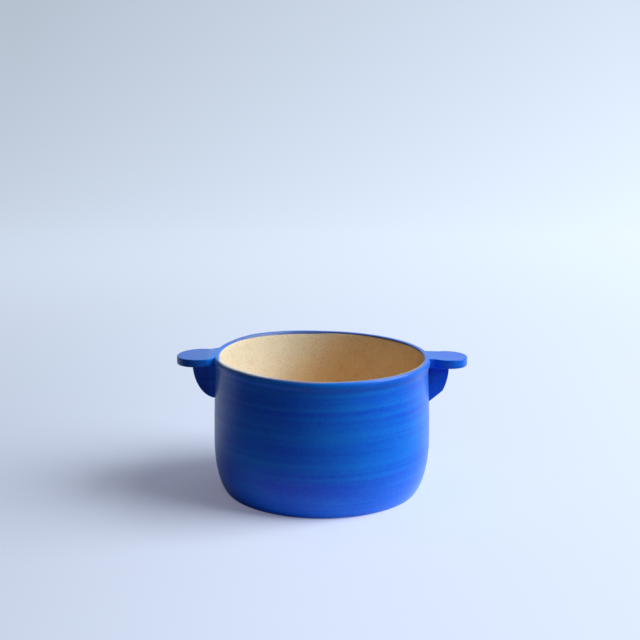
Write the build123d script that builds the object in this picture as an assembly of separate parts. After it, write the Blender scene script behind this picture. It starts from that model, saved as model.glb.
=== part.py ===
"""Two-handled stoneware yarn bowl: thrown body, glaze lining, two tab handles and their fins.

Millimetres, +Z up. The origin is the centre of the foot, and the handles lie along X.
Every clay piece is luted face to face to its neighbour, so no two solids overlap.
"""
import os
from collections import namedtuple

from build123d import *

# Overall size of the thrown body
RIM_DIAMETER = 150.0
HEIGHT = 94.0

# Outside line of the body, as steps in from or out from the rim
BELLY_SWELL = 0.3         # the belly stands this much outside the rim
BELLY_HEIGHT = 34.5
HEEL_INSET = 7.6          # from the belly in to the edge of the flat foot
HEEL_TURN = 0.5           # how tightly the heel turns off the foot
HEEL_SWEEP = 24.9         # length of the upright end of the heel's curve
NECK_DIP = 1.1            # the shallow groove under the lip
NECK_BELOW_RIM = 8.0
NECK_SWEEP = 10.0
BELLY_SWEEP = 28.0
LIP_SWEEP = 2.6

# Thickness of the clay and of its glaze
WALL = 4.4
NECK_WALL = 3.9
RIM_WALL = 4.2
RIM_ROUND = 1.5
FLOOR = 6.0
COVE_RADIUS = 20.0        # inside corner between wall and floor
GLAZE = 0.5
BARE_RIM = 1.6            # the lining stops this far below the top of the rim
GLAZE_EDGE_ROUND = 0.3

# Trimmed hollow under the foot
FOOT_RING_WIDTH = 10.0
FOOT_RECESS = 0.8
RECESS_SLOPE = 1.5

# Tab handles
TAB_BELOW_RIM = 0.2
TAB_REACH = 25.6          # from the rim out to the tip
TAB_EDGE_ROUND = 1.0
NECK_STEP = 3.0           # the neck is this much narrower than the lobe on each side
NECK_BLEND = 6.0
ROOT_DEPTH = 22.0         # handles are drawn from this far inside the rim, then trimmed to the wall

# Fins under the tabs
FIN_THICKNESS = 5.2
FIN_EDGE_ROUND = 1.2

# A handle's own sizes: the slab's thickness and its lobe in plan, then the fin below it.
# fin_run is the fin's length along the tab, fin_drop its depth down the wall,
# fin_shoulder how far its edge drops before it turns in, and fin_toe how blunt its lower end is.
Handle = namedtuple("Handle", "side thickness lobe_width lobe_length"
                              " fin_run fin_drop fin_shoulder fin_toe")
LEFT = Handle(side=-1, thickness=5.3, lobe_width=33.0, lobe_length=32.0,
              fin_run=14.4, fin_drop=25.1, fin_shoulder=12.0, fin_toe=9.0)
RIGHT = Handle(side=1, thickness=6.3, lobe_width=27.4, lobe_length=28.0,
               fin_run=13.1, fin_drop=26.1, fin_shoulder=16.0, fin_toe=8.5)

RIM_RADIUS = RIM_DIAMETER / 2
BELLY_RADIUS = RIM_RADIUS + BELLY_SWELL
NECK_RADIUS = RIM_RADIUS - NECK_DIP
NECK_HEIGHT = HEIGHT - NECK_BELOW_RIM
FOOT_RADIUS = BELLY_RADIUS - HEEL_INSET
LIP_HEIGHT = HEIGHT - RIM_ROUND
TAB_TOP = HEIGHT - TAB_BELOW_RIM
HANDLE_ROOT = RIM_RADIUS - ROOT_DEPTH
WALL_MIDDLE = RIM_RADIUS - RIM_WALL / 2


def wall_line(rim, neck, belly):
    """The upright line of a wall, from the belly up past the neck to the lip, at three radii."""
    side = Bezier(
        (belly, BELLY_HEIGHT),
        (belly, BELLY_HEIGHT + BELLY_SWEEP),
        (neck, NECK_HEIGHT - NECK_SWEEP),
        (neck, NECK_HEIGHT),
    )
    lip = Bezier(
        (neck, NECK_HEIGHT),
        (neck, NECK_HEIGHT + LIP_SWEEP),
        (rim, LIP_HEIGHT - LIP_SWEEP),
        (rim, LIP_HEIGHT),
    )
    return [side, lip]


def outer_section():
    """Half section of everything inside the body's outer surface, as if it were solid."""
    heel = Bezier(
        (FOOT_RADIUS, 0),
        (FOOT_RADIUS + HEEL_TURN, 0),
        (BELLY_RADIUS, BELLY_HEIGHT - HEEL_SWEEP),
        (BELLY_RADIUS, BELLY_HEIGHT),
    )
    rim_turn = RadiusArc((RIM_RADIUS, LIP_HEIGHT), (RIM_RADIUS - RIM_ROUND, HEIGHT), -RIM_ROUND)
    closing = Polyline((RIM_RADIUS - RIM_ROUND, HEIGHT), (0, HEIGHT), (0, 0), (FOOT_RADIUS, 0))
    wall = wall_line(RIM_RADIUS, NECK_RADIUS, BELLY_RADIUS)
    return make_face([heel, *wall, rim_turn, *closing.edges()])


def hollow_section(inset):
    """Half section of the hollow, its surface moved inwards by inset."""
    rim = RIM_RADIUS - RIM_WALL - inset
    neck = NECK_RADIUS - NECK_WALL - inset
    belly = BELLY_RADIUS - WALL - inset
    floor = FLOOR + inset
    cove = COVE_RADIUS - inset
    mouth_turn = RadiusArc((rim, LIP_HEIGHT), (rim + RIM_ROUND, HEIGHT), RIM_ROUND)
    cove_turn = RadiusArc((belly, floor + cove), (belly - cove, floor), cove)
    upright = Line((belly, BELLY_HEIGHT), (belly, floor + cove))
    closing = Polyline((rim + RIM_ROUND, HEIGHT), (0, HEIGHT), (0, floor), (belly - cove, floor))
    wall = wall_line(rim, neck, belly)
    return make_face([mouth_turn, *wall, upright, cove_turn, *closing.edges()])


def turned(section):
    """A half section drawn as radius and height, turned about the bowl's axis."""
    return revolve(Plane.XZ * section, Axis.Z)


def foot_recess_section():
    ring_inside = FOOT_RADIUS - FOOT_RING_WIDTH
    corners = [(0, 0), (ring_inside, 0), (ring_inside - RECESS_SLOPE, FOOT_RECESS), (0, FOOT_RECESS)]
    return make_face(Polyline(*corners, close=True))


def bowl_body():
    return turned(outer_section() - hollow_section(0) - foot_recess_section())


def liner_glaze():
    coat = hollow_section(0) - hollow_section(GLAZE)
    above = Pos(0, HEIGHT - BARE_RIM) * Rectangle(
        RIM_DIAMETER, HEIGHT, align=(Align.CENTER, Align.MIN)
    )
    coat = coat - above
    inner_top = coat.vertices().sort_by(Axis.Y)[-2:].sort_by(Axis.X)[0]
    return turned(fillet(inner_top, GLAZE_EDGE_ROUND))


def tab_outline(handle):
    """Plan of a tab: an oval lobe on a narrower neck that starts inside the wall."""
    lobe_middle = RIM_RADIUS + TAB_REACH - handle.lobe_length / 2
    lobe = Pos(lobe_middle, 0) * Ellipse(handle.lobe_length / 2, handle.lobe_width / 2)
    neck = Pos(HANDLE_ROOT, 0) * Rectangle(
        lobe_middle - HANDLE_ROOT,
        handle.lobe_width - 2 * NECK_STEP,
        align=(Align.MIN, Align.CENTER),
    )
    outline = neck + lobe
    inner_corners = outline.vertices().sort_by(Axis.X)[2:4]
    return fillet(inner_corners, NECK_BLEND)


def tab_underside(handle):
    return TAB_TOP - handle.thickness


def on_its_side(handle, piece):
    return piece if handle.side > 0 else mirror(piece, Plane.YZ)


def tab_handle(handle):
    slab = extrude(Pos(0, 0, tab_underside(handle)) * tab_outline(handle), handle.thickness)
    faces = slab.faces().sort_by(Axis.Z)
    slab = fillet(faces[0].edges() + faces[-1].edges(), TAB_EDGE_ROUND)
    return on_its_side(handle, slab - turned(outer_section()))


def handle_fin(handle):
    """Upright plate whose top lies on the tab's underside and whose back lies on the wall."""
    front = RIM_RADIUS + handle.fin_run
    top = tab_underside(handle)
    bottom = top - handle.fin_drop
    edge = Bezier(
        (front, top),
        (front, top - handle.fin_shoulder),
        (WALL_MIDDLE + handle.fin_toe, bottom + handle.fin_toe / 2),
        (WALL_MIDDLE, bottom),
    )
    closing = Polyline((WALL_MIDDLE, bottom), (WALL_MIDDLE, top), (front, top))
    outline = make_face([edge, *closing.edges()])
    plate = extrude(Plane.XZ * outline, FIN_THICKNESS / 2, both=True)
    curved = plate.edges().filter_by(GeomType.LINE, reverse=True)
    plate = fillet(curved, FIN_EDGE_ROUND)
    return on_its_side(handle, plate - turned(outer_section()))


NODES = {
    "bowl_body": bowl_body(),
    "liner_glaze": liner_glaze(),
    "left_tab_handle": tab_handle(LEFT),
    "right_tab_handle": tab_handle(RIGHT),
    "left_handle_fin": handle_fin(LEFT),
    "right_handle_fin": handle_fin(RIGHT),
}

os.makedirs("parts", exist_ok=True)
for name, shape in NODES.items():
    export_step(shape, f"parts/{name}.step")
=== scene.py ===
"""Two-handled stoneware yarn bowl: cobalt slip outside and over the rim, cream glaze inside.

Metres, +Z up, origin at the centre of the foot, handles along X. The bowl is thrown ring by ring
from a disc of clay and lined with glaze. Its two tabs and fins are cut from slabs and rubbed
soft. A light lean and unevenness come last, the same way on every piece.
"""
import math
from collections import namedtuple

import bmesh
import bpy
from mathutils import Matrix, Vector


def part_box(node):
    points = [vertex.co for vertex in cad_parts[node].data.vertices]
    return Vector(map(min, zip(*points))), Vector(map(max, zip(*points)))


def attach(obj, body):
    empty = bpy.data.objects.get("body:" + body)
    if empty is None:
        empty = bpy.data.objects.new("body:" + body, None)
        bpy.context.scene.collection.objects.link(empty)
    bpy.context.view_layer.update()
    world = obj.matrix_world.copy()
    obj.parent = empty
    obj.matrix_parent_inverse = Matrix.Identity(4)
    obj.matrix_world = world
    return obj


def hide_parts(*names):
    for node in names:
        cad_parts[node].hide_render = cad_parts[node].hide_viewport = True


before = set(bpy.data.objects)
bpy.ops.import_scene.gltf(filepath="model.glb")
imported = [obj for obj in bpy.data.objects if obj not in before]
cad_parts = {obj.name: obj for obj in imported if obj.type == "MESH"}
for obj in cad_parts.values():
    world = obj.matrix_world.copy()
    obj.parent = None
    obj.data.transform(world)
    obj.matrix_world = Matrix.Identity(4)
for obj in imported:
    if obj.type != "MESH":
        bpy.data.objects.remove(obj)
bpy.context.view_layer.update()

MM = 0.001

# ------------------------------------------------------------------ sizes of the thrown bowl
body_low, body_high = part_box("bowl_body")
HEIGHT = body_high[2]
BELLY_RADIUS = (body_high[0] - body_low[0]) / 2
RIM_RADIUS = BELLY_RADIUS - 0.3 * MM
NECK_RADIUS = RIM_RADIUS - 1.1 * MM
FOOT_RADIUS = BELLY_RADIUS - 7.6 * MM
BELLY_HEIGHT = 34.5 * MM
NECK_HEIGHT = HEIGHT - 8 * MM

HEEL_TURN = 0.5 * MM          # how tightly the heel turns off the foot
HEEL_SWEEP = 24.9 * MM        # lengths of the curves' level or upright ends
BELLY_SWEEP = 28 * MM
NECK_SWEEP = 10 * MM
LIP_SWEEP = 2.2 * MM

WALL = 4.4 * MM
NECK_WALL = 3.2 * MM
RIM_WALL = 4.2 * MM
FLOOR = 6 * MM
COVE_RADIUS = 20 * MM
FOOT_RING = 10 * MM
FOOT_RECESS = 0.8 * MM
FOOT_EDGE_RUN = 0.6 * MM      # the foot ring's inner edge is rubbed off
FOOT_EDGE_RISE = 0.1 * MM

LIP_ROUND = 1.6 * MM          # the rim's outer edge, in from the outside
LIP_DROP = 3 * MM             # and down it
MOUTH_ROUND = 1.2 * MM        # the rim's inner edge
MOUTH_HEIGHT = HEIGHT - MOUTH_ROUND
MOUTH_RADIUS = RIM_RADIUS - RIM_WALL
RIM_MIDDLE = RIM_RADIUS - RIM_WALL / 2
RIM_SHIFT = 0.1 * MM          # the lip stands this far to the right
MOUTH_SHIFT = -0.15 * MM      # and the mouth to the left, so the rim is thicker on the right
SHIFT_FROM = 0.6              # both shifts grow from this share of the height up

GLAZE = 0.5 * MM
GLAZE_SINK = 0.15 * MM        # how far the coat keys into the clay behind it
GLAZE_TOP = HEIGHT - 1.2 * MM
GLAZE_BACK_TOP = GLAZE_TOP - 1.5 * MM
GLAZE_FACE_TOP = GLAZE_TOP - 2 * MM
# The coat's upper edge, from its back to its face: in from the clay, and below the top
GLAZE_EDGE = (
    (-GLAZE_SINK, 0.6 * MM),
    (-GLAZE_SINK, 0),
    (0.08 * MM, 0.05 * MM),
    (0.25 * MM, 0.5 * MM),
    (0.4 * MM, 1.2 * MM),
)

SLOW_MARKS = 9.3 * MM         # height from one throwing mark to the next
QUICK_MARKS = 5.7 * MM
CLAY_MARK_DEPTH = 0.035 * MM
CLAY_MARKS_FROM = 12 * MM     # they fade out below this
GLAZE_MARK_DEPTH = 0.03 * MM
GLAZE_MARK_OFFSET = 2 * MM

SEGMENTS = 96                 # flats round each thrown ring
DISC = 0.1 * MM               # thickness of the disc that a wall is pulled from
FACING = 0.9                  # a face whose normal has more than this along an axis faces it

Ring = namedtuple("Ring", "radius height shift")


# ------------------------------------------------------------------ small helpers
def only(piece):
    """Selects one object and nothing else."""
    bpy.ops.object.select_all(action="DESELECT")
    piece.select_set(True)
    bpy.context.view_layer.objects.active = piece


def edit(piece):
    """Starts editing one object's faces, with none selected."""
    only(piece)
    bpy.ops.object.mode_set(mode="EDIT")
    bpy.ops.mesh.select_mode(type="FACE")
    bpy.ops.mesh.select_all(action="DESELECT")


def done():
    bpy.ops.object.mode_set(mode="OBJECT")


def pick_faces(piece, wanted):
    """In edit mode, selects the faces for which wanted(face) is true."""
    mesh = bmesh.from_edit_mesh(piece.data)
    for face in mesh.faces:
        face.select_set(bool(wanted(face)))
    bmesh.update_edit_mesh(piece.data)


def new_piece(name):
    """Names the object that was just added."""
    piece = bpy.context.object
    piece.name = name
    piece.data.name = name
    return piece


def settle(piece):
    """Puts the object at the origin, with its place in its mesh."""
    only(piece)
    bpy.ops.object.transform_apply(location=True, rotation=True, scale=True)


def finish_with(piece, kind, **settings):
    """Adds a modifier and applies it."""
    only(piece)
    modifier = piece.modifiers.new(kind.title(), kind)
    for name, value in settings.items():
        setattr(modifier, name, value)
    bpy.ops.object.modifier_apply(modifier=modifier.name)


def along(curve, steps):
    """Points of a cubic curve after its first, as radius and height."""
    a, b, c, d = (Vector(point) for point in curve)
    for step in range(1, steps + 1):
        t = step / steps
        s = 1 - t
        yield s ** 3 * a + 3 * s * s * t * b + 3 * s * t * t * c + t ** 3 * d


def round_turn(middle, across, up, start, stop, steps):
    """Points of an oval arc after its first, from angle start to stop in degrees."""
    for step in range(1, steps + 1):
        angle = math.radians(start + (stop - start) * step / steps)
        yield Vector((middle[0] + across * math.cos(angle), middle[1] + up * math.sin(angle)))


# ------------------------------------------------------------------ the thrown body
def throwing_marks(height, depth):
    """Shallow rings that fingers leave in a turning wall."""
    slow = math.sin(height / SLOW_MARKS * math.tau)
    quick = math.sin(height / QUICK_MARKS * math.tau + 1.1)
    return depth * (0.65 * slow + 0.35 * quick)


def heel_curve():
    """From the edge of the flat foot to the belly, as the four points of a cubic curve."""
    return [
        (FOOT_RADIUS, 0),
        (FOOT_RADIUS + HEEL_TURN, 0),
        (BELLY_RADIUS, BELLY_HEIGHT - HEEL_SWEEP),
        (BELLY_RADIUS, BELLY_HEIGHT),
    ]


def side_curve(neck, belly):
    """From the belly up to the neck, at those two radii."""
    return [
        (belly, BELLY_HEIGHT),
        (belly, BELLY_HEIGHT + BELLY_SWEEP),
        (neck, NECK_HEIGHT - NECK_SWEEP),
        (neck, NECK_HEIGHT),
    ]


def lip_curve(rim, neck, top):
    """From the neck up to where the rim turns over."""
    return [
        (neck, NECK_HEIGHT),
        (neck, NECK_HEIGHT + LIP_SWEEP),
        (rim, top - LIP_SWEEP),
        (rim, top),
    ]


def inner_wall(inset, steps):
    """Points down the inside of the wall and over the floor, inset from the clay's surface."""
    rim = MOUTH_RADIUS - inset
    neck = NECK_RADIUS - NECK_WALL - inset
    belly = BELLY_RADIUS - WALL - inset
    floor = FLOOR + inset
    cove = COVE_RADIUS - inset
    cove_middle = (belly - cove, floor + cove)
    lip = lip_curve(rim, neck, MOUTH_HEIGHT)
    side = side_curve(neck, belly)
    points = list(along(reversed(lip), steps=4))
    points += along(reversed(side), steps=steps)
    points.append(Vector((belly, (BELLY_HEIGHT + floor + cove) / 2)))
    points.append(Vector((belly, floor + cove)))
    points += round_turn(cove_middle, across=cove, up=cove, start=0, stop=-90, steps=10)
    for share in (0.75, 0.45, 0.2, 0.04):
        points.append(Vector(((belly - cove) * share, floor)))
    return points


def shift_at(height, at_rim):
    """A ring's sideways shift: none low on the wall, all of it at the rim."""
    share = max(0.0, (height / HEIGHT - SHIFT_FROM) / (1 - SHIFT_FROM))
    return at_rim * share * share


def throw(name, rings):
    """Pulls a closed wall from a disc, ring after ring."""
    first = rings[0]
    bpy.ops.object.select_all(action="DESELECT")
    bpy.ops.mesh.primitive_cylinder_add(
        vertices=SEGMENTS, radius=first.radius, depth=DISC,
        location=(first.shift, 0, first.height), end_fill_type="NGON",
    )
    piece = new_piece(name)
    settle(piece)
    edit(piece)
    pick_faces(piece, lambda face: face.normal.z > FACING)
    last = Ring(first.radius, first.height + DISC / 2, first.shift)
    for number, ring in enumerate(rings[1:]):
        step = (ring.shift - last.shift, 0, ring.height - last.height)
        if number == 0:
            bpy.ops.transform.translate(value=step)
        else:
            bpy.ops.mesh.extrude_region_move(TRANSFORM_OT_translate={"value": step})
        grow = ring.radius / last.radius
        bpy.ops.transform.resize(
            value=(grow, grow, 1), center_override=(ring.shift, 0, ring.height),
        )
        last = ring
    # Both ends are closed by a fan round their middle
    bpy.ops.mesh.poke()
    pick_faces(piece, lambda face: len(face.verts) > 4)
    bpy.ops.mesh.poke()
    done()
    return piece


def make_body():
    """The pot: from the hollow underfoot out over the heel, up the wall and down the inside."""
    ring_inside = FOOT_RADIUS - FOOT_RING
    rings = [Ring(share * ring_inside, FOOT_RECESS, 0) for share in (0.05, 0.35, 0.7, 0.97)]
    rings += [
        Ring(ring_inside, FOOT_EDGE_RISE, 0),
        Ring(ring_inside + FOOT_EDGE_RUN, 0, 0),
        Ring(FOOT_RADIUS - FOOT_RING / 2, 0, 0),
        Ring(FOOT_RADIUS, 0, 0),
    ]
    outside = list(along(heel_curve(), steps=22))
    outside += along(side_curve(NECK_RADIUS, BELLY_RADIUS), steps=34)
    outside += along(lip_curve(RIM_RADIUS, NECK_RADIUS, HEIGHT - LIP_DROP), steps=5)
    for radius, height in outside:
        mark = throwing_marks(height, CLAY_MARK_DEPTH) * min(1, height / CLAY_MARKS_FROM)
        if height > NECK_HEIGHT:
            mark = 0
        rings.append(Ring(radius + mark, height, shift_at(height, RIM_SHIFT)))
    lip = (RIM_RADIUS - LIP_ROUND, HEIGHT - LIP_DROP)
    for radius, height in round_turn(lip, LIP_ROUND, LIP_DROP, start=0, stop=90, steps=7):
        rings.append(Ring(radius, height, RIM_SHIFT))
    mouth = (MOUTH_RADIUS + MOUTH_ROUND, MOUTH_HEIGHT)
    for radius, height in round_turn(mouth, MOUTH_ROUND, MOUTH_ROUND, start=90, stop=180, steps=5):
        rings.append(Ring(radius, height, MOUTH_SHIFT))
    for radius, height in inner_wall(0, steps=12):
        rings.append(Ring(radius, height, shift_at(height, MOUTH_SHIFT)))
    return throw("thrown_body", rings)


def make_lining():
    """The coat: up behind its face in the clay, over its upper edge, then down its face."""
    back = inner_wall(-GLAZE_SINK, steps=12)
    face = inner_wall(GLAZE, steps=26)
    points = [(radius, height) for radius, height in reversed(back) if height < GLAZE_BACK_TOP]
    points += [(MOUTH_RADIUS - inwards, GLAZE_TOP - below) for inwards, below in GLAZE_EDGE]
    for radius, height in face:
        if height > GLAZE_FACE_TOP:
            continue
        mark = 0
        if height > FLOOR + COVE_RADIUS:
            mark = throwing_marks(height + GLAZE_MARK_OFFSET, GLAZE_MARK_DEPTH)
        points.append((radius + mark, height))
    rings = [Ring(radius, height, shift_at(height, MOUTH_SHIFT)) for radius, height in points]
    return throw("glaze_lining", rings)


# ------------------------------------------------------------------ tabs and fins
# One handle, in millimetres and degrees. lobe_x and lobe_y are how far the lobe's middle stands
# off the bowl's axis, and to the back. The neck's edges, near and far, are at neck_ on the lobe
# and at root_ on the rim. The slab sits drop below the rim and climbs to it at the root.
Handle = namedtuple("Handle", "side lobe_x lobe_y half_length half_width turn neck_near neck_far"
                              " root_near root_far drop fin_reach fin_drop")
LEFT = Handle(
    side=-1, lobe_x=84.6, lobe_y=0.0, half_length=16.0, half_width=16.2, turn=-8,
    neck_near=-9.4, neck_far=14.8, root_near=-9.0, root_far=16.2,
    drop=0.55, fin_reach=16.6, fin_drop=25.4,
)
RIGHT = Handle(
    side=1, lobe_x=87.0, lobe_y=1.6, half_length=14.0, half_width=13.6, turn=6,
    neck_near=-8.2, neck_far=13.6, root_near=-9.0, root_far=15.5,
    drop=0.0, fin_reach=15.0, fin_drop=26.4,
)
ROOT_X = 71.0                 # the slabs are drawn from here, then trimmed along the rim
FIN_ROOT_X = 73.2             # the fins key into the wall as far as this
FIN_KEY = 0.4 * MM            # and into the slab above by this much
# The right fin's squarer edge: two cuts through one point, out from its root and below its top
FIN_CORNER_OUT = 11.5 * MM
FIN_CORNER_DOWN = 17.6 * MM
FIN_CORNER_CUTS = ((0.65, 0, -0.76), (0.88, 0, -0.47))

SLAB_GRAIN = 0.42 * MM        # the finest detail left in a slab once its edges are rubbed
SLAB_RUBS = 6
CLIMB_FROM = RIM_RADIUS - 0.4 * MM     # a slab is drawn up to the rim inside this radius
CLIMB_LENGTH = 5 * MM                  # and follows softly this far outside it
TRIM_RADIUS = RIM_MIDDLE + 0.2 * MM
TRIM_DEPTH = 60 * MM
SLIVER = 0.02 * MM            # corners nearer to each other than this are one


def make_tab(name, node, handle):
    """An oval lobe and its widening neck, cut from one slab."""
    low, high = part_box(node)
    thickness = high[2] - low[2]
    middle_z = (low[2] + high[2]) / 2 - handle.drop * MM
    bpy.ops.object.select_all(action="DESELECT")
    bpy.ops.mesh.primitive_cylinder_add(
        vertices=72, radius=1, depth=thickness,
        location=(handle.side * handle.lobe_x * MM, handle.lobe_y * MM, middle_z),
        rotation=(0, 0, math.radians(handle.turn)),
        scale=(handle.half_length * MM, handle.half_width * MM, 1),
    )
    lobe = new_piece(name)
    neck_length = handle.lobe_x - ROOT_X
    neck_width = handle.neck_far - handle.neck_near
    neck_y = (handle.neck_near + handle.neck_far) / 2
    root_width = handle.root_far - handle.root_near
    root_y = (handle.root_near + handle.root_far) / 2
    bpy.ops.object.select_all(action="DESELECT")
    bpy.ops.mesh.primitive_cube_add(
        size=1,
        location=(handle.side * (ROOT_X + neck_length / 2) * MM, neck_y * MM, middle_z),
        scale=(neck_length * MM, neck_width * MM, thickness),
    )
    neck = new_piece(name + "_neck")
    settle(neck)
    edit(neck)
    pick_faces(neck, lambda face: face.normal.x * handle.side < -FACING)
    bpy.ops.transform.resize(value=(1, root_width / neck_width, 1))
    bpy.ops.transform.translate(value=(0, (root_y - neck_y) * MM, 0))
    done()
    settle(lobe)
    only(lobe)
    neck.select_set(True)
    bpy.ops.object.join()
    soften(lobe)
    climb_to_rim(lobe, handle)
    trim_to_rim(lobe)
    return lobe


def soften(piece):
    """Fuses a piece's slabs and rubs their edges down, as a wet sponge does."""
    finish_with(piece, "REMESH", mode="VOXEL", voxel_size=SLAB_GRAIN)
    finish_with(piece, "SMOOTH", factor=0.5, iterations=SLAB_RUBS)


def climb_to_rim(tab, handle):
    """Draws the slab's root up to the top of the rim in a soft hollow."""
    edit(tab)
    pick_faces(tab, lambda face: face.normal.z > 0.5
               and face.calc_center_median().xy.length < CLIMB_FROM)
    bpy.ops.transform.translate(
        value=(0, 0, handle.drop * MM), use_proportional_edit=True,
        proportional_edit_falloff="SMOOTH", proportional_size=CLIMB_LENGTH,
    )
    done()


def trim_to_rim(tab):
    """Cuts away what lies inside the middle of the rim."""
    bpy.ops.object.select_all(action="DESELECT")
    bpy.ops.mesh.primitive_cylinder_add(
        vertices=180, radius=TRIM_RADIUS, depth=TRIM_DEPTH, location=(0, 0, HEIGHT),
    )
    core = new_piece("trimming_core")
    settle(core)
    finish_with(tab, "BOOLEAN", operation="DIFFERENCE", solver="EXACT", object=core)
    bpy.data.objects.remove(core)
    edit(tab)
    bpy.ops.mesh.select_all(action="SELECT")
    bpy.ops.mesh.remove_doubles(threshold=SLIVER)
    done()


def make_fin(name, node, handle):
    """An upright plate: a quarter of an oval, keyed into the wall and into the slab above."""
    low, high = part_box(node)
    thickness = high[1] - low[1]
    top = high[2] - handle.drop * MM
    side = handle.side
    bpy.ops.object.select_all(action="DESELECT")
    bpy.ops.mesh.primitive_cylinder_add(
        vertices=96, radius=1, depth=thickness,
        location=(side * FIN_ROOT_X * MM, 0, top), rotation=(math.pi / 2, 0, 0),
        scale=(handle.fin_reach * MM, handle.fin_drop * MM, 1),
    )
    fin = new_piece(name)
    settle(fin)
    cuts = [
        ((0, 0, top + FIN_KEY), (0, 0, 1)),
        ((side * FIN_ROOT_X * MM, 0, 0), (-side, 0, 0)),
    ]
    if handle is RIGHT:
        corner = (FIN_ROOT_X * MM + FIN_CORNER_OUT, 0, top - FIN_CORNER_DOWN)
        cuts += [(corner, normal) for normal in FIN_CORNER_CUTS]
    for point, normal in cuts:
        edit(fin)
        bpy.ops.mesh.select_all(action="SELECT")
        bpy.ops.mesh.bisect(plane_co=point, plane_no=normal, use_fill=True, clear_outer=True)
        done()
    soften(fin)
    return fin


# ------------------------------------------------------------------ unevenness of the hand
UNEVEN_SIZE = 34 * MM         # from one swell of the clay to the next
THROWN_SWELL = {"strength": 0.5 * MM, "direction": "X"}
SLAB_SWELL = {"strength": 0.7 * MM, "direction": "Z"}

CAGE_SIZE = (0.21, 0.16, HEIGHT)
LEAN = 0.3 * MM
# How far the top of the bowl is lifted, from its left end to its right
FRONT_LIFTS = (0.9 * MM, 2.0 * MM, 0.35 * MM, -0.2 * MM, -0.6 * MM)
BACK_LIFTS = (0.9 * MM, 2.8 * MM, 0.45 * MM, -0.2 * MM, -0.6 * MM)


def uneven_grain():
    """Wide soft lumps that push every piece about alike."""
    grain = bpy.data.textures.new("clay_unevenness", "CLOUDS")
    grain.noise_scale = UNEVEN_SIZE
    grain.noise_depth = 1
    return grain


def make_lean():
    """A cage that leans the bowl a little to the right and lifts the left of the rim."""
    bpy.ops.object.select_all(action="DESELECT")
    bpy.ops.object.add(type="LATTICE", location=(0, 0, HEIGHT / 2))
    cage = bpy.context.object
    cage.name = "lean_cage"
    cage.scale = CAGE_SIZE
    cage.data.points_u = len(FRONT_LIFTS)
    cage.data.interpolation_type_u = "KEY_LINEAR"
    cage.data.interpolation_type_v = "KEY_LINEAR"
    cage.data.interpolation_type_w = "KEY_LINEAR"
    for number, point in enumerate(cage.data.points):
        if point.co.z > 0:
            lifts = BACK_LIFTS if point.co.y > 0 else FRONT_LIFTS
            lift = lifts[number % len(lifts)]
            point.co_deform = point.co + Vector((LEAN / CAGE_SIZE[0], 0, lift / CAGE_SIZE[2]))
    return cage


# ------------------------------------------------------------------ finishes
class Field:
    """A number that varies over a surface. Python sums on it add Math nodes."""

    def __init__(self, finish, socket):
        self.finish = finish
        self.socket = socket

    def _sum(self, operation, first, second):
        made = self.finish.node("ShaderNodeMath", {"operation": operation}, {0: first, 1: second})
        return made["Value"]

    def __add__(self, other):
        return self._sum("ADD", self, other)

    def __sub__(self, other):
        return self._sum("SUBTRACT", self, other)

    def __rsub__(self, other):
        return self._sum("SUBTRACT", other, self)

    def __mul__(self, other):
        return self._sum("MULTIPLY", self, other)

    __radd__ = __add__
    __rmul__ = __mul__


class Finish:
    """A material and the nodes in it."""

    def __init__(self, name):
        self.material = bpy.data.materials.new(name)
        self.material.use_nodes = True
        self.tree = self.material.node_tree
        self.tree.nodes.clear()
        self.out = self.tree.nodes.new("ShaderNodeOutputMaterial")
        self.point = self.node("ShaderNodeTexCoord", {}, {})["Object"]

    def node(self, kind, settings, sockets):
        """Adds a node and returns its outputs by name. Settings go first, then socket values."""
        made = self.tree.nodes.new(kind)
        for name, value in settings.items():
            setattr(made, name, value)
        for name, value in sockets.items():
            if isinstance(name, int):
                socket = made.inputs[name]
            else:
                socket = next(s for s in made.inputs if s.name == name and s.enabled)
            if isinstance(value, Field):
                self.tree.links.new(value.socket, socket)
            else:
                socket.default_value = value
        return {s.name: Field(self, s) for s in made.outputs if s.enabled}

    def axes(self, vector):
        """The parts of a vector along X, Y and Z."""
        return self.node("ShaderNodeSeparateXYZ", {}, {"Vector": vector})

    def length(self, vector):
        return self.node("ShaderNodeVectorMath", {"operation": "LENGTH"}, {0: vector})["Value"]

    def noise(self, stretch, scale, detail=3.0, roughness=0.55):
        """Noise on the object's own coordinates, stretched along X, Y and Z."""
        place = self.node("ShaderNodeMapping", {}, {"Vector": self.point, "Scale": stretch})
        made = self.node(
            "ShaderNodeTexNoise", {},
            {"Vector": place["Vector"], "Scale": scale, "Detail": detail, "Roughness": roughness},
        )
        return made["Fac"]

    def between(self, field, low, high, start=0.0, stop=1.0, easing="SMOOTHSTEP"):
        """Maps a field from low..high to start..stop, and no further."""
        made = self.node(
            "ShaderNodeMapRange", {"interpolation_type": easing},
            {"Value": field, "From Min": low, "From Max": high, "To Min": start, "To Max": stop},
        )
        return made["Result"]

    def mix(self, share, first, second):
        """Goes from the first colour to the second as share goes from 0 to 1."""
        made = self.node(
            "ShaderNodeMix", {"data_type": "RGBA", "blend_type": "MIX"},
            {"Factor": share, "A": self.colour(first), "B": self.colour(second)},
        )
        return made["Result"]

    @staticmethod
    def colour(value):
        return value if isinstance(value, Field) else (*value, 1)

    def bump(self, height, distance):
        return self.node("ShaderNodeBump", {}, {"Height": height, "Distance": distance})["Normal"]

    def show(self, shader):
        """Ends the material in one shader."""
        self.tree.links.new(shader.socket, self.out.inputs["Surface"])
        return self.material

    def surface(self, sockets):
        return self.show(self.node("ShaderNodeBsdfPrincipled", {}, sockets)["BSDF"])


EVEN = (1, 1, 1)              # stretches of a noise along X, Y and Z
BRUSH_STREAKS = (7, 7, 420)
BRUSH_BANDS = (5, 5, 60)
THROWING_RINGS = (9, 9, 210)
FLAT_BLUSH = (1, 1, 1.8)

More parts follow.
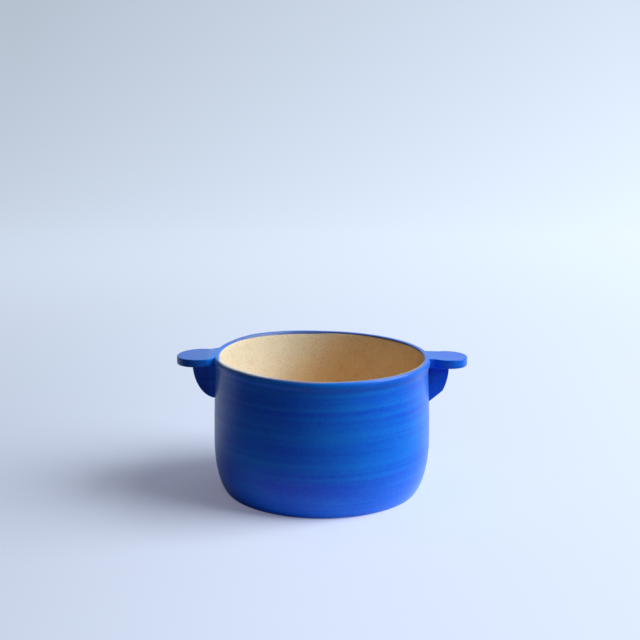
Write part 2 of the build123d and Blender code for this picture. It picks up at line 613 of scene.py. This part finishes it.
SLIP_DEEP = (0.0, 0.070, 0.86)
SLIP_BRIGHT = (0.004, 0.262, 0.98)
SLIP_THIN = (0.030, 0.240, 0.84)
SLIP_POWDER = (0.04, 0.25, 0.92)
# painted shade for the left tab and fin
SLIP_PAINTED_SHADE = (0.0, 0.03, 0.38)
BARE_CLAY = (0.56, 0.40, 0.26)
BARE_CLAY_DARK = (0.42, 0.28, 0.17)
LAP_GLAZE_AND_HIGHLIGHT = (0.84, 0.84, 0.84)
LAP_GREY = (0.27, 0.25, 0.36)
# the mouth's inner edge in painted shade
MOUTH_PAINTED_SHADE = (0.06, 0.085, 0.24)
MOUTH_WORN = (0.10, 0.17, 0.46)
SLIP_SHEEN = (0.84, 0.97, 0.96, 1)
GRIT_RELIEF = 0.03 * MM

LAP_LEAST = MOUTH_RADIUS - 1 * MM      # the glaze stays inside the mouth at the back
LAP_FRONT = 3.8 * MM                   # reaches this much further out at the front
LAP_FRONT_LEFT = 0.5 * MM              # and a little further still at the front left
LAP_WANDER = 0.8 * MM


def lapped_glaze(finish, xyz, wander):
    """Masks of glaze that has run out over the rim at the front, and of the worn mouth behind,
    whose tone is painted darker to the right as shade.
    """
    flat = finish.node("ShaderNodeCombineXYZ", {}, {"X": xyz["X"], "Y": xyz["Y"]})["Vector"]
    radius = finish.length(flat)
    front = finish.between(xyz["Y"], 2 * MM, -34 * MM)
    front_left = finish.between(xyz["X"] * 0.6 + xyz["Y"] * 0.8, -52 * MM, -66 * MM)
    reach = LAP_LEAST + front * LAP_FRONT + front_left * LAP_FRONT_LEFT
    near = finish.between(radius + wander * LAP_WANDER - reach, 0.75 * MM, 0.15 * MM)
    high = finish.between(xyz["Z"], HEIGHT - 3.2 * MM, HEIGHT - 2.4 * MM)
    mouth = finish.between(radius, MOUTH_RADIUS + 1.3 * MM, MOUTH_RADIUS + 0.7 * MM)
    back = finish.between(xyz["Y"] + xyz["X"] * 0.4, -18 * MM, 14 * MM)
    return near * high, mouth * high * back


def bare_underfoot(finish, xyz, mottle):
    """A mask of the foot's underside, where the slip was wiped off."""
    normal = finish.node("ShaderNodeNewGeometry", {}, {})["Normal"]
    facing = finish.axes(normal)["Z"]
    underside = finish.between(facing * -1 + mottle * 0.16, 0.72, 0.80)
    low = finish.between(xyz["Z"], 3 * MM, 2 * MM)
    return underside * low


def blue_slip():
    """Cobalt slip brushed on the turning pot: level streaks, powdery grain, bare underfoot."""
    finish = Finish("blue_slip")
    xyz = finish.axes(finish.point)
    wander = finish.noise(EVEN, 14, detail=2)
    streaks = finish.noise(BRUSH_STREAKS, 1.0, detail=3, roughness=0.55)
    broad = finish.noise(BRUSH_BANDS, 1.0, detail=2)
    mottle = finish.noise(EVEN, 420, detail=4, roughness=0.65)
    grit = finish.noise(EVEN, 900, detail=2, roughness=0.7)

    tone = streaks * 0.3 + broad * 0.3 + mottle * 0.18 + wander * 0.22
    blue = finish.mix(finish.between(tone, 0.30, 0.70), SLIP_DEEP, SLIP_BRIGHT)
    thin = finish.between(streaks, 0.64, 0.82, 0, 0.22)
    blue = finish.mix(thin, blue, SLIP_THIN)
    powder = finish.between(grit, 0.52, 0.70, 0, 0.30)
    blue = finish.mix(powder, blue, SLIP_POWDER)
    # Painted shade: the left tab and its fin are painted darker, where the bowl body keeps the
    # window's light off them
    left_handle_shade = finish.between(xyz["X"], -76 * MM, -80 * MM, 0, 0.42)
    blue = finish.mix(left_handle_shade, blue, SLIP_PAINTED_SHADE)

    lap, mouth = lapped_glaze(finish, xyz, wander)
    # Painted shade: the mouth's inner edge goes darker towards the right, where it faces away from
    # the window
    mouth_tone_and_shade = finish.mix(finish.between(xyz["X"], -34 * MM, 6 * MM), MOUTH_WORN, MOUTH_PAINTED_SHADE)
    blue = finish.mix(mouth * 0.9, blue, mouth_tone_and_shade)
    bare = bare_underfoot(finish, xyz, mottle)
    clay = finish.mix(finish.between(mottle, 0.35, 0.65), BARE_CLAY_DARK, BARE_CLAY)
    # The lap of glaze is pale at its left end, partly a painted highlight on the rounded edge, and
    # grey to the right
    lap_tone_and_highlight = finish.mix(finish.between(xyz["X"], -52 * MM, -16 * MM), LAP_GLAZE_AND_HIGHLIGHT, LAP_GREY)
    colour = finish.mix(lap, finish.mix(bare, blue, clay), lap_tone_and_highlight)

    dry = finish.between(mottle * 0.5 + broad * 0.5, 0.35, 0.65, 0.30, 0.34) + bare * 0.3
    return finish.surface({
        "Base Color": colour,
        "Roughness": dry * (1 - lap * 0.4),
        "Specular IOR Level": 0.34,
        "Sheen Weight": 0.33,
        "Sheen Roughness": 0.35,
        "Sheen Tint": SLIP_SHEEN,
        "Normal": finish.bump(grit, GRIT_RELIEF),
    })


GLAZE_PALE = (0.83, 0.78, 0.61)
GLAZE_WARM = (0.86, 0.60, 0.32)
GLAZE_RUST = (0.50, 0.27, 0.12)
GLAZE_BLUSH = (0.62, 0.36, 0.25)
IRON_SPOT = (0.07, 0.035, 0.02)
IRON_SPOTS_PER_METRE = 95
PEEL_RELIEF = 0.04 * MM


def iron_spots(finish):
    """A mask of the few cells whose middle holds a fleck of iron."""
    cells = finish.node(
        "ShaderNodeTexVoronoi", {"feature": "F1"},
        {"Vector": finish.point, "Scale": IRON_SPOTS_PER_METRE},
    )
    chance = finish.node("ShaderNodeSeparateColor", {}, {"Color": cells["Color"]})["Red"]
    return finish.between(cells["Distance"], 0.045, 0.02) * finish.between(chance, 0.80, 0.84)


def cream_glaze():
    """Glossy glaze over speckled stoneware, paler on the left and warmer on the right: partly
    painted light on the lit left and painted shade on the shaded right.
    """
    finish = Finish("cream_glaze")
    xyz = finish.axes(finish.point)
    cloud = finish.noise(EVEN, 22, detail=4, roughness=0.6)
    rings = finish.noise(THROWING_RINGS, 1.0, detail=3)
    freckle = finish.noise(EVEN, 880, detail=2, roughness=0.6)
    blush = finish.noise(FLAT_BLUSH, 62, detail=5, roughness=0.6)
    peel = finish.noise(EVEN, 260, detail=1)

    # Partly painted light and shade: the glaze is painted paler on the lit left and warmer on the
    # shaded right and low down, with cloudy variation
    rise = (xyz["Z"] - 78 * MM) * 1.1
    lit_side_and_cloud = finish.between(xyz["X"] + cloud * (30 * MM) - rise, 58 * MM, -28 * MM)
    tone = lit_side_and_cloud * 0.62 + cloud * 0.2 + rings * 0.08 + freckle * 0.1
    cream = finish.mix(finish.between(tone, 0.15, 0.85), GLAZE_WARM, GLAZE_PALE)
    # The blush blotches are the glaze's own, but they are painted stronger on the shaded right
    shaded_side = finish.between(xyz["X"], 0, 55 * MM, 0.35, 1)
    cream = finish.mix(finish.between(blush, 0.50, 0.74, 0, 0.40) * shaded_side, cream, GLAZE_BLUSH)
    cream = finish.mix(finish.between(freckle, 0.50, 0.68, 0, 0.34), cream, GLAZE_RUST)
    cream = finish.mix(iron_spots(finish) * 0.8, cream, IRON_SPOT)

    # Slip shows through the thin upper edge at the back left
    lifted = xyz["Z"] + xyz["X"] * 0.045 + cloud * (0.5 * MM)
    back_left = finish.between(xyz["Y"], 0, 18 * MM) * finish.between(xyz["X"], 12 * MM, -8 * MM)
    shown = finish.between(lifted, HEIGHT - 1.55 * MM, HEIGHT - 1.2 * MM) * back_left
    cream = finish.mix(shown, cream, MOUTH_WORN)

    return finish.surface({
        "Base Color": cream,
        "Roughness": finish.between(cloud, 0.35, 0.65, 0.20, 0.28),
        "Specular IOR Level": 0.45,
        "Normal": finish.bump(peel, PEEL_RELIEF),
    })


# ------------------------------------------------------------------ floor, lights, camera
BLACK = (0, 0, 0)
PAPER = (0.625, 0.725, 0.885)
PAPER_GLOW = (0.15, 0.15, 0.195)
BACKDROP = (0.9288, 1.0584, 1.2528)
PAPER_BOUNCE = (0.62, 0.72, 0.90)
ROOM_BOUNCE = (0.12, 0.15, 0.21)

FLOOR_MIDDLE = (0, -1.0, 0)
FLOOR_SIZE = (8, 4.4, 1)
SWEEP_RADIUS = 0.7            # the turn from the floor up to the backdrop
SWEEP_FLATS = 14
BACKDROP_RISE = 3

WINDOW_AWAY = 3.0
WINDOW_AZIMUTH = math.radians(-4)
WINDOW_RISE = math.radians(39)
WINDOW_COLOUR = (1.0, 0.985, 0.96)
CEILING_PLACE = (0, 0.2, 2)
CEILING_COLOUR = (0.86, 0.93, 1.0)
ROOM_COLOUR = (0.74, 0.84, 1.0, 1)
ROOM_FILL = 0.035             # the room's strength as a light
ROOM_SEEN = 0.85              # and as the camera sees it past the backdrop

CAMERA_PLACE = (-1.05 * MM, -872.8 * MM, 313.5 * MM)
CAMERA_TILT = math.radians(90 - 12.56)


def floor_sweep():
    """A pale sheet that runs level under the bowl and turns up behind it."""
    bpy.ops.object.select_all(action="DESELECT")
    bpy.ops.mesh.primitive_plane_add(size=1, location=FLOOR_MIDDLE)
    sweep = new_piece("floor_sweep")
    sweep.scale = FLOOR_SIZE
    settle(sweep)
    edit(sweep)
    bpy.ops.mesh.select_mode(type="EDGE")
    mesh = bmesh.from_edit_mesh(sweep.data)
    for line in mesh.edges:
        line.select_set(all(corner.co.y > 0 for corner in line.verts))
    bmesh.update_edit_mesh(sweep.data)
    turn = math.radians(90) / SWEEP_FLATS
    length = SWEEP_RADIUS * turn
    for flat in range(SWEEP_FLATS):
        angle = turn * (flat + 0.5)
        step = (0, length * math.cos(angle), length * math.sin(angle))
        bpy.ops.mesh.extrude_region_move(TRANSFORM_OT_translate={"value": step})
    rise = (0, 0, BACKDROP_RISE)
    bpy.ops.mesh.extrude_region_move(TRANSFORM_OT_translate={"value": rise})
    done()
    bpy.ops.object.shade_smooth()
    sweep.data.materials.append(paper())


def paper():
    """Lit paper near the bowl, with painted shade towards the left and far right, and a painted
    glow that lightens its shadow. Further back its colour is set as a painted glow, dimmer upwards
    and to the left, so that it stays pale.
    """
    finish = Finish("paper")
    xyz = finish.axes(finish.point)
    shade = finish.between(xyz["X"], -0.32, 0.02, 0.86, 1.0)
    shade = shade * finish.between(xyz["X"], 0.45, 1.6, 1.0, 0.5)
    near = finish.mix(shade, BLACK, PAPER)
    lit = finish.node("ShaderNodeBsdfDiffuse", {}, {"Color": near})["BSDF"]
    bloom = glow(finish, finish.mix(shade, BLACK, PAPER_GLOW))
    floor = finish.node("ShaderNodeAddShader", {}, {0: lit, 1: bloom})["Shader"]

    # The backdrop is a painted glow, dimmer higher up and to the left
    depth = xyz["Y"] + xyz["Z"]
    fall = finish.between(depth, 1.15, 2.35, 0.94, 0.72, easing="LINEAR")
    across = finish.between(xyz["X"], -0.6, 0.6, 0.676, 1.0, easing="LINEAR")
    behind = glow(finish, finish.mix(fall * across, BLACK, BACKDROP))
    far = finish.between(depth, -0.1, 0.95)
    seen = finish.node("ShaderNodeMixShader", {}, {0: far, 1: floor, 2: behind})["Shader"]

    # What the floor throws back on the bowl, which is less than what the camera sees
    away = finish.length(finish.point)
    bounce = finish.mix(finish.between(away, 0.085, 0.18), PAPER_BOUNCE, ROOM_BOUNCE)
    dim = finish.node("ShaderNodeBsdfDiffuse", {}, {"Color": bounce})["BSDF"]
    path = finish.node("ShaderNodeLightPath", {}, {})
    past_bowl = finish.between(xyz["Y"], -0.06, 0.10)
    shown = path["Is Camera Ray"] + path["Is Glossy Ray"] * past_bowl
    both = finish.node("ShaderNodeMixShader", {}, {0: shown, 1: dim, 2: seen})["Shader"]
    return finish.show(both)


def glow(finish, colour):
    return finish.node("ShaderNodeEmission", {}, {"Color": colour})["Emission"]


def square_lamp(name, place, size, power, colour):
    bpy.ops.object.light_add(type="AREA", location=place)
    lamp = bpy.context.object
    lamp.name = name
    lamp.data.shape = "SQUARE"
    lamp.data.size = size
    lamp.data.energy = power
    lamp.data.color = colour
    return lamp


def window_light():
    """A broad soft window to the right and a little in front, rather lower than it is far."""
    flat = WINDOW_AWAY * math.cos(WINDOW_RISE)
    place = (
        flat * math.cos(WINDOW_AZIMUTH),
        flat * math.sin(WINDOW_AZIMUTH),
        WINDOW_AWAY * math.sin(WINDOW_RISE),
    )
    lamp = square_lamp("window", place, size=2.4, power=131, colour=WINDOW_COLOUR)
    lamp.rotation_euler = (-lamp.location).to_track_quat("-Z", "Y").to_euler()


def ceiling_light():
    """A weak broad light overhead."""
    square_lamp("ceiling", CEILING_PLACE, size=1.5, power=4.5, colour=CEILING_COLOUR)


def room_light():
    """A dim room, which the camera sees as pale past the backdrop's edges."""
    world = bpy.data.worlds.new("room")
    bpy.context.scene.world = world
    world.use_nodes = True
    sky = world.node_tree.nodes["Background"]
    sky.inputs["Color"].default_value = ROOM_COLOUR
    path = world.node_tree.nodes.new("ShaderNodeLightPath")
    seen = world.node_tree.nodes.new("ShaderNodeMapRange")
    seen.inputs["To Min"].default_value = ROOM_FILL
    seen.inputs["To Max"].default_value = ROOM_SEEN
    world.node_tree.links.new(path.outputs["Is Camera Ray"], seen.inputs["Value"])
    world.node_tree.links.new(seen.outputs["Result"], sky.inputs["Strength"])


def set_camera():
    bpy.ops.object.camera_add(location=CAMERA_PLACE, rotation=(CAMERA_TILT, 0, 0))
    camera = bpy.context.object
    camera.name = "camera"
    camera.data.lens = 72.9
    camera.data.sensor_width = 36
    camera.data.clip_start = 0.05
    bpy.context.scene.camera = camera
    bpy.context.scene.view_settings.view_transform = "Standard"


# ------------------------------------------------------------------ making it
set_camera()
window_light()
ceiling_light()
room_light()
floor_sweep()

slip = blue_slip()
cream = cream_glaze()
grain = uneven_grain()
cage = make_lean()

body = make_body()
lining = make_lining()
left_tab = make_tab("left_tab", "left_tab_handle", LEFT)
right_tab = make_tab("right_tab", "right_tab_handle", RIGHT)
left_fin = make_fin("left_fin", "left_handle_fin", LEFT)
right_fin = make_fin("right_fin", "right_handle_fin", RIGHT)

for piece in (body, lining):
    finish_with(piece, "SUBSURF", levels=1, render_levels=1)

for piece, node, slot, finish, swell in (
    (body, "bowl_body", "blue_slip", slip, THROWN_SWELL),
    (lining, "liner_glaze", "cream_glaze", cream, THROWN_SWELL),
    (left_tab, "left_tab_handle", "blue_slip", slip, SLAB_SWELL),
    (right_tab, "right_tab_handle", "blue_slip", slip, SLAB_SWELL),
    (left_fin, "left_handle_fin", "blue_slip", slip, SLAB_SWELL),
    (right_fin, "right_handle_fin", "blue_slip", slip, SLAB_SWELL),
):
    finish_with(piece, "DISPLACE", texture=grain, texture_coords="GLOBAL", mid_level=0.5, **swell)
    finish_with(piece, "LATTICE", object=cage)
    only(piece)
    bpy.ops.object.shade_smooth()
    piece.data.materials.append(finish)
    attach(piece, "root")
    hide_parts(node)

bpy.data.objects.remove(cage)
